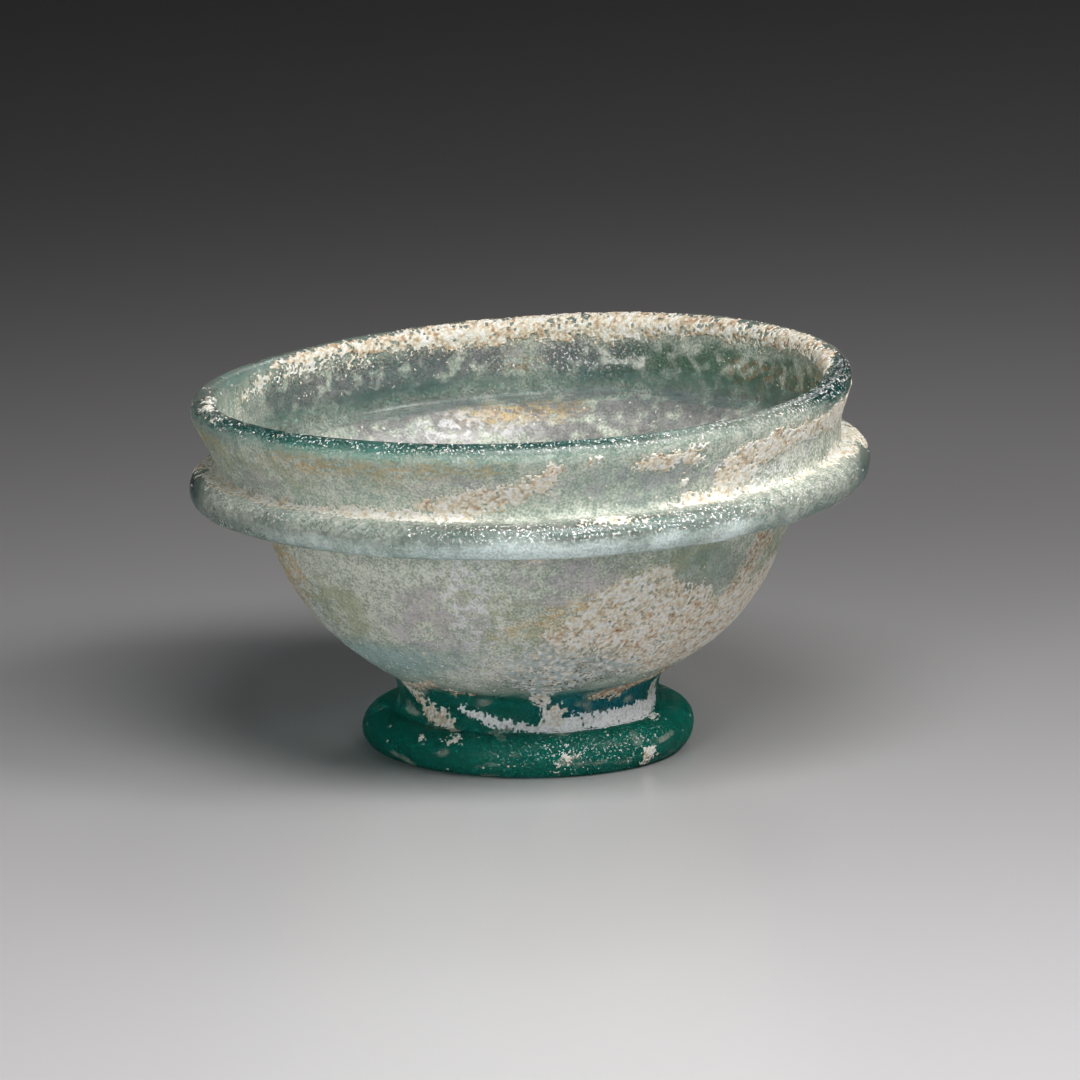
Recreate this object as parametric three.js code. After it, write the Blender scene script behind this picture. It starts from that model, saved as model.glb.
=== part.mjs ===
// A small blown glass bowl on a ring foot, with a rolled flange folded out of the wall below a flaring collar.
// It is one piece of glass: a profile turned round the upright axis, then leaned and shifted a little, because
// the bowl was shaped by hand and its collar stands askew on its body. Millimetres, +Z up. The origin is at
// table level under the middle of the flange, which is the widest ring.
import * as THREE from "three";

// Stem: the short waist between the foot and the bowl.
const stemRadius = 16.95;
const stemHeight = 4.72;
const stemFlare = 1.05;

// Foot: a thick rolled ring that rests on a narrow worn flat, with a shallow domed hollow inside it.
const footOverhang = 4.6;
const footRollRadius = 2.85;
const footRestWidth = 2.2;
const hollowEdgeAngle = 172;
const hollowDoming = 0.8;

// Bowl: its wall leaves the stem at a low slope and rises steeply to the flange. The belly's two values say,
// as shares of the wall's width and height, how far the curve keeps its first and its last direction.
const bowlTopRadius = 34.9;
const bowlHeight = 22.78;
const bowlWall = 1.7;
const floorThickness = 3.6;
const bellyBelow = new THREE.Vector2(0.467, 0.22);
const bellyAbove = new THREE.Vector2(0.213, 0.58);
const innerWallShare = 0.7;

// Flange: a fold of the wall pressed flat against itself, with a rolled edge.
const flangeOverhang = 9.1;
const flangeRollRadius = 2.45;
const flangeRootRise = 0.6;

// Collar: it stands a little way in from the flange's edge, leans outwards and ends in a rounded lip.
const flangeShelf = 3.65;
const grooveRise = 0.8;
const collarHeight = 10.6;
const collarFlare = 2.25;
const collarWall = 2;
const lipRollRadius = 1.8;
const ledgeWidth = 2.2;
const ledgeDrop = 1.8;

// How the hand-made form departs from a turned one: a lean is a rise for each millimetre across.
const footLean = 0.017;
const collarLean = 0.038;
const backwardLean = 0.013;
const rimWave = 0.375;
const collarShiftRight = -1.15;
const collarShiftBack = -0.9;
const footShiftRight = -0.2;

const stepsAround = 64;

// Radii, outwards from the stem and the bowl's top.
const footRadius = stemRadius + footOverhang;
const flangeRadius = bowlTopRadius + flangeOverhang;
const neckRadius = flangeRadius - flangeShelf;
const lipRadius = neckRadius + collarFlare;

// Heights, from the table up.
const footRollHeight = Math.sqrt(footRollRadius ** 2 - (footRestWidth / 2) ** 2);
const bowlStart = footRollHeight + footRollRadius + stemHeight;
const bowlTop = bowlStart + bowlHeight;
const flangeHeight = bowlTop + flangeRootRise + flangeRollRadius;
const neckHeight = flangeHeight + flangeRollRadius + grooveRise;
const lipHeight = flangeHeight + collarHeight;

// Middles of the three rolled rings, seen in section.
const footRoll = new THREE.Vector2(footRadius - footRollRadius, footRollHeight);
const flangeRoll = new THREE.Vector2(flangeRadius - flangeRollRadius, flangeHeight);
const lipRoll = new THREE.Vector2(lipRadius - lipRollRadius, lipHeight);

// Where the parts of the outline meet.
const footTopEdge = rollPoint(footRoll, footRollRadius, 110);
const hollowEdge = rollPoint(footRoll, footRollRadius, hollowEdgeAngle);
const hollowCrown = new THREE.Vector2(0, hollowEdge.y + hollowDoming);
const bowlFoot = new THREE.Vector2(stemRadius + stemFlare, bowlStart);
const bowlEdge = new THREE.Vector2(bowlTopRadius, bowlTop);
const groove = rollPoint(flangeRoll, flangeRollRadius, 95);
const neck = new THREE.Vector2(neckRadius, neckHeight);
const innerNeck = new THREE.Vector2(neckRadius - collarWall, neckHeight);
const ledge = new THREE.Vector2(innerNeck.x - ledgeWidth, neckHeight - ledgeDrop);
const floorMiddle = new THREE.Vector2(0, hollowCrown.y + floorThickness);

// Outer face of the bowl's wall, in section.
const bowlSize = bowlEdge.clone().sub(bowlFoot);
const wallCurve = new THREE.CubicBezierCurve(
  bowlFoot,
  bowlFoot.clone().add(bowlSize.clone().multiply(bellyBelow)),
  bowlEdge.clone().sub(bowlSize.clone().multiply(bellyAbove)),
  bowlEdge,
);

// A point of a round roll, at an angle in degrees from straight outwards.
function rollPoint(centre, radius, degrees) {
  const angle = THREE.MathUtils.degToRad(degrees);
  return new THREE.Vector2(centre.x + radius * Math.cos(angle), centre.y + radius * Math.sin(angle));
}

// The points of a round roll between two angles, ends included.
function rollArc(centre, radius, fromDegrees, toDegrees, steps) {
  const turn = (toDegrees - fromDegrees) / steps;
  return Array.from({ length: steps + 1 }, (_, step) => rollPoint(centre, radius, fromDegrees + turn * step));
}

// The points of a smooth curve between two points, with both ends left out. The two handles that it is drawn
// towards are given as shares of the way, across and up.
function sweep(from, to, firstHandle, lastHandle, steps) {
  const span = to.clone().sub(from);
  const [first, last] = [firstHandle, lastHandle].map(
    ([across, up]) => new THREE.Vector2(from.x + span.x * across, from.y + span.y * up),
  );
  return new THREE.CubicBezierCurve(from, first, last, to).getPoints(steps).slice(1, -1);
}

// Underside: the hollow inside the foot, the ring's inner half, the flat that it rests on and its outer half.
function footOutline() {
  const restAngle = THREE.MathUtils.radToDeg(Math.asin(footRestWidth / 2 / footRollRadius));
  return [
    hollowCrown,
    ...sweep(hollowCrown, hollowEdge, [0.5, 0], [0.8, 1], 4),
    ...rollArc(footRoll, footRollRadius, hollowEdgeAngle, 270 - restAngle, 3),
    ...rollArc(footRoll, footRollRadius, 270 + restAngle, 470, 8),
  ];
}

// Waist: a hollow curve from the top of the foot ring to the bowl, whose middle lies at the stem's radius.
function stemOutline() {
  const waist = (stemRadius - (footTopEdge.x + bowlFoot.x) / 8) / 0.75;
  const low = new THREE.Vector2(waist, footTopEdge.y);
  const high = new THREE.Vector2(waist, bowlFoot.y - stemHeight / 4);
  return new THREE.CubicBezierCurve(footTopEdge, low, high, bowlFoot).getPoints(4).slice(1, -1);
}

// Flange: its underside leaves the bowl in a small hollow curve and its edge is rolled.
function flangeOutline() {
  const underside = rollPoint(flangeRoll, flangeRollRadius, 270);
  return [
    ...sweep(bowlEdge, underside, [0.08, 2], [0.5, 1], 3),
    ...rollArc(flangeRoll, flangeRollRadius, 270, 455, 8),
  ];
}

// Collar: the groove above the flange, the outer face, the rounded lip and the inner face.
function collarOutline() {
  const lipFrom = rollPoint(lipRoll, lipRollRadius, -30);
  const lipTo = rollPoint(lipRoll, lipRollRadius, 190);
  return [
    ...sweep(groove, neck, [0.7, 0], [1, 0.3], 3),
    neck,
    ...sweep(neck, lipFrom, [0, 0.3], [0.55, 0.65], 4),
    ...rollArc(lipRoll, lipRollRadius, -30, 190, 8),
    ...sweep(lipTo, innerNeck, [0, 0.3], [1, 0.7], 3),
    innerNeck,
  ];
}

// Inside: the ledge that the fold leaves, the bowl's inner face at one wall's thickness, and the thick floor.
function insideOutline() {
  const wall = [];
  const steps = 9;
  for (let step = 0; step <= steps; step += 1) {
    const share = 1 - (innerWallShare * step) / steps;
    const along = wallCurve.getTangent(share);
    wall.push(wallCurve.getPoint(share).add(new THREE.Vector2(-along.y, along.x).multiplyScalar(bowlWall)));
  }
  const wallFoot = wall.at(-1);
  return [
    ...sweep(innerNeck, ledge, [0, 0.7], [0.6, 1], 3),
    ledge,
    ...sweep(ledge, wall[0], [0.2, 0.4], [0.8, 0.6], 2),
    ...wall,
    ...sweep(wallFoot, floorMiddle, [0.25, 0.58], [0.5, 1], 6),
    floorMiddle,
  ];
}

// The lean, the rim's two shallow waves and the sideways shifts of collar and foot. The underside is level.
function handShape(point) {
  const { x, y, z } = point;
  const radius = Math.hypot(x, y);
  const rise = z / lipHeight;
  const collarShare = THREE.MathUtils.smoothstep(z, flangeHeight, lipHeight);
  const footShare = 1 - THREE.MathUtils.smoothstep(z, bowlStart, flangeHeight);
  const leanShare = THREE.MathUtils.smoothstep(z, bowlStart + bowlHeight / 4, lipHeight);
  const lean = footLean * Math.min(z / footRollHeight, 1) + collarLean * leanShare;
  const wave = radius > 0 ? (rimWave * rise ** 2 * 2 * x * y) / radius ** 2 : 0;
  point.x = x + collarShiftRight * collarShare + footShiftRight * footShare;
  point.y = y + collarShiftBack * collarShare;
  point.z = z + lean * x + backwardLean * rise * y + wave;
}

function glassBowl() {
  const outline = [
    ...footOutline(),
    ...stemOutline(),
    ...wallCurve.getPoints(9),
    ...flangeOutline(),
    ...collarOutline(),
    ...insideOutline(),
  ];
  const geometry = new THREE.LatheGeometry(outline, stepsAround);
  geometry.rotateX(Math.PI / 2);
  const position = geometry.getAttribute("position");
  const point = new THREE.Vector3();
  for (let index = 0; index < position.count; index += 1) {
    handShape(point.fromBufferAttribute(position, index));
    position.setXYZ(index, point.x, point.y, point.z);
  }
  geometry.computeVertexNormals();
  const glass = new THREE.MeshStandardMaterial({
    color: 0x7fb0a2,
    roughness: 0.4,
    metalness: 0,
    transparent: true,
    opacity: 0.8,
  });
  const bowl = new THREE.Mesh(geometry, glass);
  bowl.name = "bowl";
  return bowl;
}

const group = new THREE.Group();
group.add(glassBowl());

export default group;
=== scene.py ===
import math
from collections import namedtuple

import bpy
import numpy as np
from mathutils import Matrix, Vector


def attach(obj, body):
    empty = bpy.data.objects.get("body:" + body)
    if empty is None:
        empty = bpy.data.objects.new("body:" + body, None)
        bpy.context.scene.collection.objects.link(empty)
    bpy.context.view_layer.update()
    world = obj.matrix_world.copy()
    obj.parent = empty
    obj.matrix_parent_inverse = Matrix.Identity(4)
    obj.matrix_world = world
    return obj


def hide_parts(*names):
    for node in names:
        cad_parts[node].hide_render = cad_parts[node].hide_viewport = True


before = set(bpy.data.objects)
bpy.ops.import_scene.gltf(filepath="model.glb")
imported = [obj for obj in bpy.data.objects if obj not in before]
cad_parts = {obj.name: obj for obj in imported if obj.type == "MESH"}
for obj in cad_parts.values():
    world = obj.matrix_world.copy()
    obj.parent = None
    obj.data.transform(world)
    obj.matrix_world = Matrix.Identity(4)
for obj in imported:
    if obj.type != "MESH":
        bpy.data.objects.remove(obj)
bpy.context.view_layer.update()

# A blown glass bowl with a rolled flange, weathered by burial. Lengths are millimetres until a mesh is made.
MM = 0.001

# The glass, as the solid has it.
STEM_RADIUS = 16.95
STEM_HEIGHT = 4.72
STEM_FLARE = 1.05
FOOT_OVERHANG = 4.6
FOOT_ROLL = 2.85
FOOT_REST_WIDTH = 2.2
HOLLOW_EDGE_ANGLE = 172
HOLLOW_DOMING = 0.8
BOWL_TOP_RADIUS = 34.9
BOWL_HEIGHT = 22.78
BOWL_WALL = 1.7
FLOOR_THICKNESS = 3.6
BELLY_BELOW = np.array([0.467, 0.22])
BELLY_ABOVE = np.array([0.213, 0.58])
INNER_WALL_SHARE = 0.7
FLANGE_OVERHANG = 9.1
FLANGE_ROLL = 2.45
FLANGE_ROOT_RISE = 0.6
FLANGE_SHELF = 3.65
GROOVE_RISE = 0.8
COLLAR_HEIGHT = 10.6
COLLAR_FLARE = 2.25
COLLAR_WALL = 2
LIP_ROLL = 1.8
LEDGE_WIDTH = 2.2
LEDGE_DROP = 1.8

# How the hand-made form leans, waves and shifts, as the solid has it.
FOOT_LEAN = 0.017
COLLAR_LEAN = 0.038
BACKWARD_LEAN = 0.013
RIM_WAVE = 0.375
COLLAR_SHIFT_RIGHT = -1.15
COLLAR_SHIFT_BACK = -0.9
FOOT_SHIFT_RIGHT = -0.2

# The tube of air inside the folded edge of the flange.
FOLD_TUBE_RADIUS = 1.25
FOLD_TUBE_INSET = 0.35

# The outline is kept as points this far apart, its slope blended over as many neighbours on either side.
OUTLINE_STEP = 0.05
SLOPE_REACH = 7
WALL_STEPS = 200

FOOT_ROLL_HEIGHT = math.sqrt(FOOT_ROLL**2 - (FOOT_REST_WIDTH / 2) ** 2)
BOWL_START = FOOT_ROLL_HEIGHT + FOOT_ROLL + STEM_HEIGHT
BOWL_TOP = BOWL_START + BOWL_HEIGHT
FLANGE_HEIGHT = BOWL_TOP + FLANGE_ROOT_RISE + FLANGE_ROLL
NECK_RADIUS = BOWL_TOP_RADIUS + FLANGE_OVERHANG - FLANGE_SHELF
NECK_HEIGHT = FLANGE_HEIGHT + FLANGE_ROLL + GROOVE_RISE
LIP_HEIGHT = FLANGE_HEIGHT + COLLAR_HEIGHT


def roll_arc(centre, radius, from_degrees, to_degrees, steps=60):
    """Points of a round roll between two angles from straight outwards, ends included."""
    angle = np.radians(np.linspace(from_degrees, to_degrees, steps))
    return np.column_stack([centre[0] + radius * np.cos(angle), centre[1] + radius * np.sin(angle)])


def bezier(start, first, last, end, steps=80):
    """Points and slopes of the cubic curve (1-t)^3 start + 3(1-t)^2 t first + 3(1-t) t^2 last + t^3 end."""
    t = np.linspace(0, 1, steps)[:, None]
    start, first, last, end = (np.asarray(p, float) for p in (start, first, last, end))
    points = (1 - t) ** 3 * start + 3 * (1 - t) ** 2 * t * first + 3 * (1 - t) * t**2 * last + t**3 * end
    slopes = (1 - t) ** 2 * (first - start) + 2 * (1 - t) * t * (last - first) + t**2 * (end - last)
    return points, slopes


def sweep(start, end, first_handle, last_handle):
    """A cubic curve whose two handles are given as shares of the way from start to end, across and up."""
    start, end = np.asarray(start, float), np.asarray(end, float)
    span = end - start
    return bezier(start, start + span * first_handle, start + span * last_handle, end)[0]


def glass_stretches():
    """The bowl's outline in section, as named stretches of (radius, height): from the middle of the underside
    out over the foot, up the outside, round the lip and down the inside to the middle of the floor."""
    foot_roll = (STEM_RADIUS + FOOT_OVERHANG - FOOT_ROLL, FOOT_ROLL_HEIGHT)
    flange_roll = (BOWL_TOP_RADIUS + FLANGE_OVERHANG - FLANGE_ROLL, FLANGE_HEIGHT)
    lip_roll = (NECK_RADIUS + COLLAR_FLARE - LIP_ROLL, LIP_HEIGHT)
    rest_angle = math.degrees(math.asin(FOOT_REST_WIDTH / 2 / FOOT_ROLL))
    foot_inside = roll_arc(foot_roll, FOOT_ROLL, HOLLOW_EDGE_ANGLE, 270 - rest_angle)
    foot_outside = roll_arc(foot_roll, FOOT_ROLL, 270 + rest_angle, 470)
    hollow_crown = (0, foot_inside[0, 1] + HOLLOW_DOMING)
    hollow = sweep(hollow_crown, foot_inside[0], (0.5, 0), (0.8, 1))

    bowl_foot = np.array([STEM_RADIUS + STEM_FLARE, BOWL_START])
    bowl_edge = np.array([BOWL_TOP_RADIUS, BOWL_TOP])
    foot_top = foot_outside[-1]
    waist = (STEM_RADIUS - (foot_top[0] + bowl_foot[0]) / 8) / 0.75
    stem, _ = bezier(foot_top, (waist, foot_top[1]), (waist, BOWL_START - STEM_HEIGHT / 4), bowl_foot)
    size = bowl_edge - bowl_foot
    low, high = bowl_foot + size * BELLY_BELOW, bowl_edge - size * BELLY_ABOVE
    wall, slopes = bezier(bowl_foot, low, high, bowl_edge, WALL_STEPS)

    flange = roll_arc(flange_roll, FLANGE_ROLL, 270, 455)
    flange_root = sweep(bowl_edge, flange[0], (0.08, 2), (0.5, 1))
    neck = (NECK_RADIUS, NECK_HEIGHT)
    groove = sweep(flange[-1], neck, (0.7, 0), (1, 0.3))
    lip = roll_arc(lip_roll, LIP_ROLL, -30, 190)
    collar = sweep(neck, lip[0], (0, 0.3), (0.55, 0.65))
    inner_neck = np.array([NECK_RADIUS - COLLAR_WALL, NECK_HEIGHT])
    inner_collar = sweep(lip[-1], inner_neck, (0, 0.3), (1, 0.7))
    ledge_edge = inner_neck - (LEDGE_WIDTH, LEDGE_DROP)
    ledge = sweep(inner_neck, ledge_edge, (0, 0.7), (0.6, 1))
    slopes = slopes / np.linalg.norm(slopes, axis=1)[:, None]
    face = (wall + BOWL_WALL * np.column_stack([-slopes[:, 1], slopes[:, 0]]))[::-1]
    face = face[: int(len(face) * INNER_WALL_SHARE)]
    below_ledge = sweep(ledge_edge, face[0], (0.2, 0.4), (0.8, 0.6))
    floor_middle = (0, hollow_crown[1] + FLOOR_THICKNESS)
    floor = sweep(face[-1], floor_middle, (0.25, 0.58), (0.5, 1))
    return {
        "hollow": hollow,
        "foot_inside": foot_inside,
        "foot": foot_outside,
        "stem": stem,
        "bowl": wall,
        "flange_root": flange_root,
        "flange": flange,
        "groove": groove,
        "collar": collar,
        "lip": lip,
        "inner_collar": inner_collar,
        "ledge": ledge,
        "below_ledge": below_ledge,
        "inner_bowl": face,
        "floor": floor,
    }


def blended(values, reach):
    """Each value averaged with its neighbours, as many as reach on either side. The end values run on."""
    count = 2 * reach + 1
    return np.convolve(np.pad(values, reach, "edge"), np.ones(count) / count, "valid")


class Outline:
    """The outline as one line that can be asked for a place at any distance along it, in millimetres."""

    def __init__(self, stretches):
        points = np.vstack(list(stretches.values()))
        step = np.r_[0, np.hypot(*np.diff(points, axis=0).T)]
        ends = np.cumsum(step)[np.cumsum([len(p) for p in stretches.values()]) - 1]
        self.spans = dict(zip(stretches, zip(np.r_[0, ends[:-1]], ends)))
        self.length = float(ends[-1])
        keep = np.r_[True, step[1:] > 1e-6]
        distance = np.cumsum(step)[keep]
        even = np.linspace(0, self.length, int(self.length / OUTLINE_STEP))
        self.distance = even
        self.radius = np.interp(even, distance, points[keep, 0])
        self.height = np.interp(even, distance, points[keep, 1])
        slopes = [np.gradient(values, even) for values in (self.radius, self.height)]
        slope = np.column_stack([blended(values, SLOPE_REACH) for values in slopes])
        self.slope = slope / np.linalg.norm(slope, axis=1)[:, None]

    def along(self, stretch, share):
        """The distance along the outline at a share of a named stretch."""
        start, end = self.spans[stretch]
        return start + (end - start) * share

    def at(self, distance):
        """Radius, height, and the outward direction across and up, at distances along the outline."""
        radius, height = (np.interp(distance, self.distance, v) for v in (self.radius, self.height))
        out = np.interp(distance, self.distance, self.slope[:, 1])
        up = -np.interp(distance, self.distance, self.slope[:, 0])
        return radius, height, out, up


def smoothstep(value, low, high):
    """0 below low, 1 above high, and 3t^2 - 2t^3 between."""
    t = np.clip((value - low) / (high - low), 0, 1)
    return t * t * (3 - 2 * t)


def between(value, start, end, fade):
    """1 between start and end, falling smoothly to 0 at both over a length of fade inside them."""
    return smoothstep(value, start, start + fade) * (1 - smoothstep(value, end - fade, end))


def hand_shape(x, y, z):
    """A place of the turned form with the lean, the rim's two shallow waves, and collar and foot shifted."""
    rise = z / LIP_HEIGHT
    collar_share = smoothstep(z, FLANGE_HEIGHT, LIP_HEIGHT)
    foot_share = 1 - smoothstep(z, BOWL_START, FLANGE_HEIGHT)
    lean_share = smoothstep(z, BOWL_START + BOWL_HEIGHT / 4, LIP_HEIGHT)
    lean = FOOT_LEAN * np.minimum(z / FOOT_ROLL_HEIGHT, 1) + COLLAR_LEAN * lean_share
    wave = RIM_WAVE * rise**2 * 2 * x * y / np.maximum(x * x + y * y, 1e-9)
    return np.stack(
        [
            x + COLLAR_SHIFT_RIGHT * collar_share + FOOT_SHIFT_RIGHT * foot_share,
            y + COLLAR_SHIFT_BACK * collar_share,
            z + lean * x + BACKWARD_LEAN * rise * y + wave,
        ],
        axis=-1,
    )


OUTLINE = Outline(glass_stretches())


def on_glass(distance, azimuth, height=0.0):
    """Places at a distance along the outline, an azimuth in radians from the front towards the right, and a
    height above the glass: the turned form's point moved outwards by that height, then leaned and shifted."""
    radius, z, out, up = OUTLINE.at(distance)
    radius = radius + out * height
    return hand_shape(radius * np.sin(azimuth), -radius * np.cos(azimuth), z + up * height)


# Large odd numbers that mix up the three whole numbers of a cell.
CELL_FACTORS = (374761393, 668265263, 2246822519)
MIX_STEPS = ((13, 1274126177), (16, 2654435761))
LAST_SHIFT = 15


def lattice_value(cell, seed):
    """A fixed pseudo-random number from 0 to 1 for each whole-numbered cell of space, by mixing its bits."""
    mixed = np.uint32(seed * 97 + 13)
    for axis, factor in enumerate(CELL_FACTORS):
        mixed = mixed + cell[..., axis].astype(np.int64).astype(np.uint32) * np.uint32(factor)
    for shift, factor in MIX_STEPS:
        mixed = (mixed ^ (mixed >> np.uint32(shift))) * np.uint32(factor)
    return (mixed ^ (mixed >> np.uint32(LAST_SHIFT))).astype(float) / 2**32


def cloud(places, size, seed):
    """Smooth noise from -1 to 1 with lumps of that size: lattice values blended by 6t^5 - 15t^4 + 10t^3."""
    scaled = places / size
    cell = np.floor(scaled)
    t = scaled - cell
    t = t**3 * (t * (t * 6 - 15) + 10)
    total = np.zeros(places.shape[:-1])
    for corner in np.ndindex(2, 2, 2):
        share = np.prod(np.where(corner, t, 1 - t), axis=-1)
        total += share * lattice_value(cell + corner, seed)
    return total * 2 - 1


def clouds(places, size, seed, octaves=3):
    """Noise of several sizes added up, each half as large and half as strong as the one before."""
    total = sum(cloud(places, size / 2**k, seed + k) / 2**k for k in range(octaves))
    return total / sum(0.5**k for k in range(octaves))


def grains(places, size, seed):
    """Rounded grains, one to a cell: 1 at each grain's middle, falling to 0 where it is size away. The second
    result is a number from 0 to 1 that is the same all over a grain."""
    scaled = places / size
    cell = np.floor(scaled)
    nearest = np.full(places.shape[:-1], 9.0)
    own = np.zeros(places.shape[:-1])
    for offset in np.ndindex(3, 3, 3):
        there = cell + np.array(offset) - 1
        middle = there + np.stack([lattice_value(there, seed + k) for k in range(3)], axis=-1)
        away = ((scaled - middle) ** 2).sum(-1)
        own = np.where(away < nearest, lattice_value(there, seed + 3), own)
        nearest = np.minimum(nearest, away)
    return np.clip(1 - np.sqrt(nearest), 0, 1), own


def azimuths(count):
    """That many azimuths in radians, evenly round the bowl from the back."""
    return np.linspace(-math.pi, math.pi, count, endpoint=False)


def surface_grid(start, end, distance_step, around):
    """Distances along the outline and azimuths of a grid that goes all the way round, no column doubled."""
    steps = int(round((end - start) / distance_step)) + 1
    return np.meshgrid(np.linspace(start, end, steps), azimuths(around), indexing="ij")


def grid_faces(rows, around, first=0):
    """The four corners of each cell of a grid that closes round on itself, ordered to face outwards."""
    row, column = np.meshgrid(np.arange(rows - 1), np.arange(around), indexing="ij")
    here, right = first + row * around + column, first + row * around + (column + 1) % around
    return np.stack([here, right, right + around, here + around], axis=-1).reshape(-1, 4)


def new_piece(name, places, faces, material, values=None):
    """A smooth mesh in metres from places in millimetres, lists of faces, and values for each point."""
    mesh = bpy.data.meshes.new(name)
    mesh.vertices.add(len(places))
    mesh.vertices.foreach_set("co", (places * MM).astype(np.float32).ravel())
    corners = np.concatenate([block.ravel() for block in faces])
    sizes = np.concatenate([np.full(len(block), block.shape[1]) for block in faces])
    mesh.loops.add(len(corners))
    mesh.loops.foreach_set("vertex_index", corners.astype(np.int32))
    mesh.polygons.add(len(sizes))
    mesh.polygons.foreach_set("loop_start", np.r_[0, np.cumsum(sizes)[:-1]].astype(np.int32))
    mesh.update(calc_edges=True)
    mesh.validate()
    mesh.shade_smooth()
    for key, value in (values or {}).items():
        attribute = mesh.attributes.new(key, "FLOAT", "POINT")
        attribute.data.foreach_set("value", value.astype(np.float32).ravel())
    mesh.materials.append(material)
    piece = bpy.data.objects.new(name, mesh)
    bpy.context.scene.collection.objects.link(piece)
    return piece


def closed_form(distance_step, around, height):
    """The whole glass surface, poles closed: rings along the outline, with a point on the axis at either end.
    height gives how far each place stands out from the turned form."""
    distance, azimuth = surface_grid(distance_step, OUTLINE.length - distance_step, distance_step, around)
    poles, ahead = np.array([0.0, OUTLINE.length]), np.zeros(2)
    ends = on_glass(poles, ahead, height(poles, ahead))
    rings = on_glass(distance, azimuth, height(distance, azimuth))
    places = np.vstack([ends, rings.reshape(-1, 3)])
    rows = len(distance)
    column = np.arange(around)
    following = (column + 1) % around
    last = 2 + (rows - 1) * around
    caps = np.vstack(
        [
            np.column_stack([np.zeros(around, int), 2 + following, 2 + column]),
            np.column_stack([np.ones(around, int), last + column, last + following]),
        ]
    )
    everywhere = (np.r_[poles, distance.ravel()], np.r_[ahead, azimuth.ravel()])
    return places, [grid_faces(rows, around, 2), caps], everywhere


def spot(azimuth, stretch, share):
    """A place on the glass: azimuth in radians from degrees, and the distance along the outline."""
    return math.radians(azimuth), OUTLINE.along(stretch, share)


def across_glass(azimuth, middle, radius):
    """How far round the glass each azimuth lies from a middle one, in millimetres, the short way round."""
    return ((azimuth - middle + math.pi) % (2 * math.pi) - math.pi) * radius


def blot(distance, azimuth, patch):
    """How far inside an oval patch each place lies, in millimetres, below 0 outside. The patch gives its
    middle's azimuth, stretch and share, its half width and half height, and it may give a tilt in degrees
    that raises its right end."""
    middle, along = spot(*patch[:3])
    half_width, half_height, tilt = (*patch[3:], 0)[:3]
    tilt = math.radians(tilt)
    across = across_glass(azimuth, middle, OUTLINE.at(along)[0])
    rise = (distance - along) * (1 if along < OUTLINE.along("lip", 0.5) else -1)
    turned_across = across * math.cos(tilt) + rise * math.sin(tilt)
    turned_rise = rise * math.cos(tilt) - across * math.sin(tilt)
    away = np.hypot(turned_across / half_width, turned_rise / half_height)
    return (1 - away) * min(half_width, half_height)


def streak(distance, azimuth, band):
    """How far inside a winding band each place lies, in millimetres: the half width, which changes evenly
    from point to point, less the distance to the line through the points."""
    points = [(*spot(turn, stretch, share), width) for stretch, *run in band for turn, share, width in run]
    best = np.full(distance.shape, FAR_OUTSIDE)
    for (start_turn, start, start_width), (end_turn, end, end_width) in zip(points, points[1:]):
        radius = OUTLINE.at((start + end) / 2)[0]
        line_across, line_rise = across_glass(end_turn, start_turn, radius), end - start
        across, rise = across_glass(azimuth, start_turn, radius), distance - start
        share = (across * line_across + rise * line_rise) / (line_across**2 + line_rise**2)
        share = np.clip(share, 0, 1)
        away = np.hypot(across - share * line_across, rise - share * line_rise)
        best = np.maximum(best, start_width + (end_width - start_width) * share - away)
    return best


# How the blown skin wanders: slow waves, wider than high, that fade out towards the table, and smaller ones
# in the rolled flange and lip. Each has a depth, a noise, and the heights between which it fades in.
SLOW_WAVE_DEPTH = 0.12
SLOW_WAVE_NOISE = {"size": 11, "seed": 3, "octaves": 2}
SLOW_WAVE_SQUEEZE = (1, 1, 1.8)
SLOW_WAVE_RISE = (0.3, 6)
ROLLED_WAVE_DEPTH = 0.06
ROLLED_WAVE_NOISE = {"size": 4, "seed": 8, "octaves": 2}
ROLLED_WAVE_RISE = (30, 34)


def glass_relief(distance, azimuth):
    """How far the blown surface wanders from the turned form, in millimetres: slow waves, weaker on the foot,
    where it has to stand level, and a little unevenness along the rolled lip and flange."""
    places = on_glass(distance, azimuth)
    height = places[..., 2]
    slow = SLOW_WAVE_DEPTH * clouds(places * SLOW_WAVE_SQUEEZE, **SLOW_WAVE_NOISE)
    rolled = ROLLED_WAVE_DEPTH * clouds(places, **ROLLED_WAVE_NOISE)
    return slow * smoothstep(height, *SLOW_WAVE_RISE) + rolled * smoothstep(height, *ROLLED_WAVE_RISE)


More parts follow.
